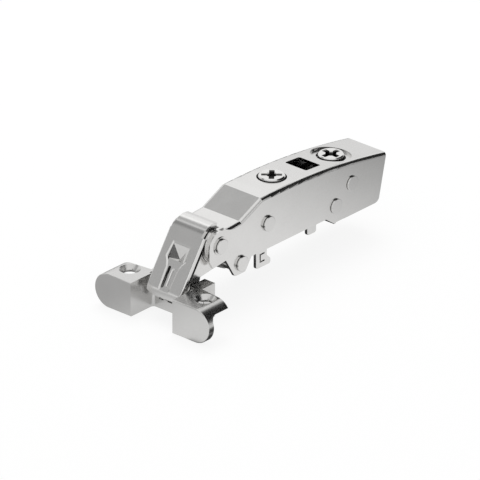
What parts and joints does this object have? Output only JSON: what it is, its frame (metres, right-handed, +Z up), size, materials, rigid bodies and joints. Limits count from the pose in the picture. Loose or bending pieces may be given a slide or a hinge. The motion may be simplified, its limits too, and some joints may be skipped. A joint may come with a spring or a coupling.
{
  "type": "concealed cabinet hinge",
  "caption": "Concealed furniture hinge with a slim arm on a clip carrier, two links and a cast door part with two round-ended screw lugs, modelled open.",
  "frame": {"origin": "midway between the two door screws, on the flat underside of the screw lugs", "axes": "+X from the door part to the rear of the arm, +Z up out of the door screws' heads, Y across the hinge with Y = 0 its plane of symmetry"},
  "size_m": [0.0962, 0.0454, 0.0303],
  "materials": {
    "nickel_plated_sheet": "satin nickel plating on pressed sheet",
    "plated_rivet_steel": "bright nickel plating",
    "plated_screw_steel": "bright plating",
    "spring_steel": "drawn wire, oiled",
    "nickel_plated_zinc_casting": "satin nickel plating on a zinc casting"
  },
  "bodies": {
    "carrier": {"clip_carrier": "nickel_plated_sheet", "latch_pin": "plated_rivet_steel", "latch_spring": "spring_steel", "follower_pin": "plated_rivet_steel"},
    "slide": {"adjusting_slide": "nickel_plated_sheet"},
    "cam": {"depth_cam": "plated_screw_steel"},
    "front_screw": {"overlay_screw": "plated_screw_steel"},
    "arm": {"arm_casing": "nickel_plated_sheet", "inner_channel": "nickel_plated_sheet", "arm_rivets": "plated_rivet_steel", "rivet_washers": "plated_rivet_steel", "side_studs": "plated_rivet_steel", "spring_sleeve": "plated_rivet_steel", "closing_spring": "spring_steel", "link_spacers": "plated_rivet_steel", "overlay_nut": "plated_screw_steel"},
    "link": {"outer_link": "nickel_plated_sheet", "link_bushes": "plated_rivet_steel"},
    "door_part": {"door_body": "nickel_plated_zinc_casting", "outer_door_pin": "plated_rivet_steel", "inner_door_pin": "plated_rivet_steel"},
    "stay": {"inner_link": "nickel_plated_sheet"},
    "latch": {"release_latch": "nickel_plated_sheet"}
  },
  "joints": [
    {"name": "depth_travel", "type": "slide", "parent": "carrier", "child": "slide", "axis": [1, 0, 0], "range_m": [-0.0018, 0.0018]},
    {"name": "depth_cam_turn", "type": "hinge", "parent": "slide", "child": "cam", "pos_m": [0.0729, 0, 0.012], "axis": [0, 0, 1], "range_deg": [-150, 150]},
    {"name": "front_screw_turn", "type": "hinge", "parent": "slide", "child": "front_screw", "pos_m": [0.0462, 0, 0.012], "axis": [0, 0, 1], "range_deg": [-201, 201]},
    {"name": "arm_tilt", "type": "hinge", "parent": "slide", "child": "arm", "pos_m": [0.0661, 0, 0.0062], "axis": [0, 1, 0], "range_deg": [-1.6, 1.6]},
    {"name": "door_fold", "type": "hinge", "parent": "arm", "child": "link", "pos_m": [0.0146, 0, 0.0116], "axis": [0, 1, 0], "range_deg": [0, 27.6], "deforming": ["closing_spring"]},
    {"name": "door_part_turn", "type": "hinge", "parent": "link", "child": "door_part", "pos_m": [0.0035, 0, -0.003], "axis": [0, 1, 0], "range_deg": [0, 67.3]},
    {"name": "stay_turn", "type": "hinge", "parent": "door_part", "child": "stay", "pos_m": [0.00275, 0, 0.0013], "axis": [0, 1, 0], "range_deg": [-85.7, 0]},
    {"name": "latch_press", "type": "hinge", "parent": "carrier", "child": "latch", "pos_m": [0.0765, 0, 0.003], "axis": [0, 1, 0], "range_deg": [0, 12], "stiffness_Nm_per_rad": 0.05, "springref_deg": -17.19, "deforming": ["latch_spring"]}
  ],
  "couplings": [
    {"joint": "depth_cam_turn", "follows": "depth_travel", "rad_per_m": 1454.4},
    {"joint": "front_screw_turn", "follows": "arm_tilt", "ratio": -125},
    {"joint": "door_part_turn", "follows": "door_fold", "ratio": 2.436},
    {"joint": "stay_turn", "follows": "door_fold", "ratio": -3.103}
  ]
}
